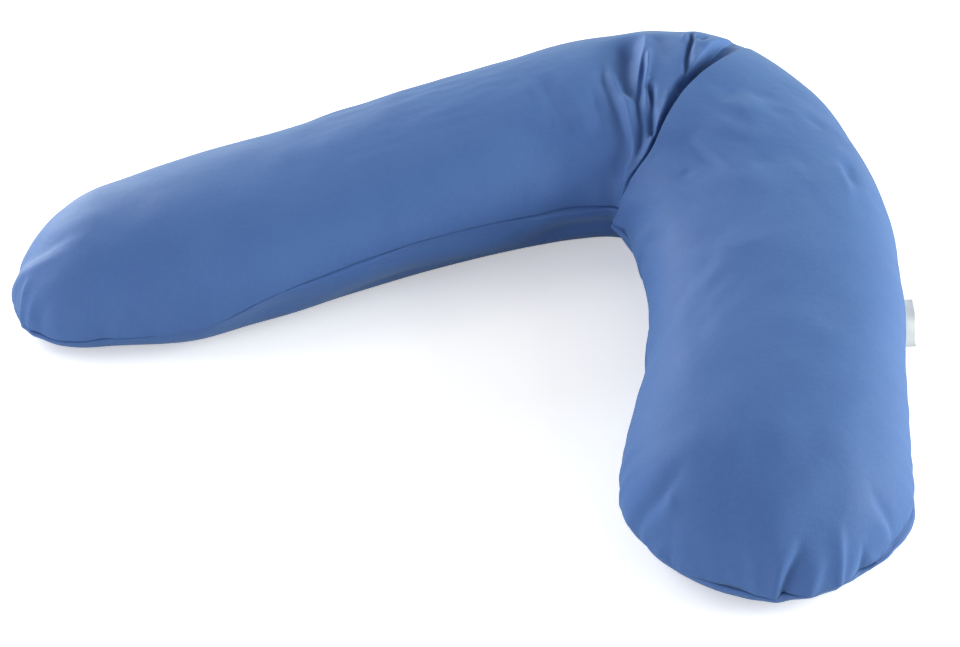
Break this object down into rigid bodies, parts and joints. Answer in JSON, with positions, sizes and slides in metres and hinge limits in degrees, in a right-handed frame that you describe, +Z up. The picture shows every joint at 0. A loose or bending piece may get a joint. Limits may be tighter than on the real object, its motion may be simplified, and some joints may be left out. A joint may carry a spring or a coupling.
{
  "type": "body pillow",
  "caption": "Long bead-filled body pillow in a plain blue cotton cover, bent into an open V, lying on its flat belly.",
  "frame": {"origin": "on the floor, under the middle of the pillow's box", "axes": "+Z up, +X across the V from the tip of the left arm to the right arm, +Y from the tip of the right arm to the bend"},
  "size_m": [1.0762, 0.996, 0.2112],
  "materials": {
    "cover": "smooth blue cotton jersey",
    "label": "white woven satin tape, bare"
  },
  "bodies": {
    "root": {"pillow": "cover", "label": "label"}
  },
  "joints": []
}
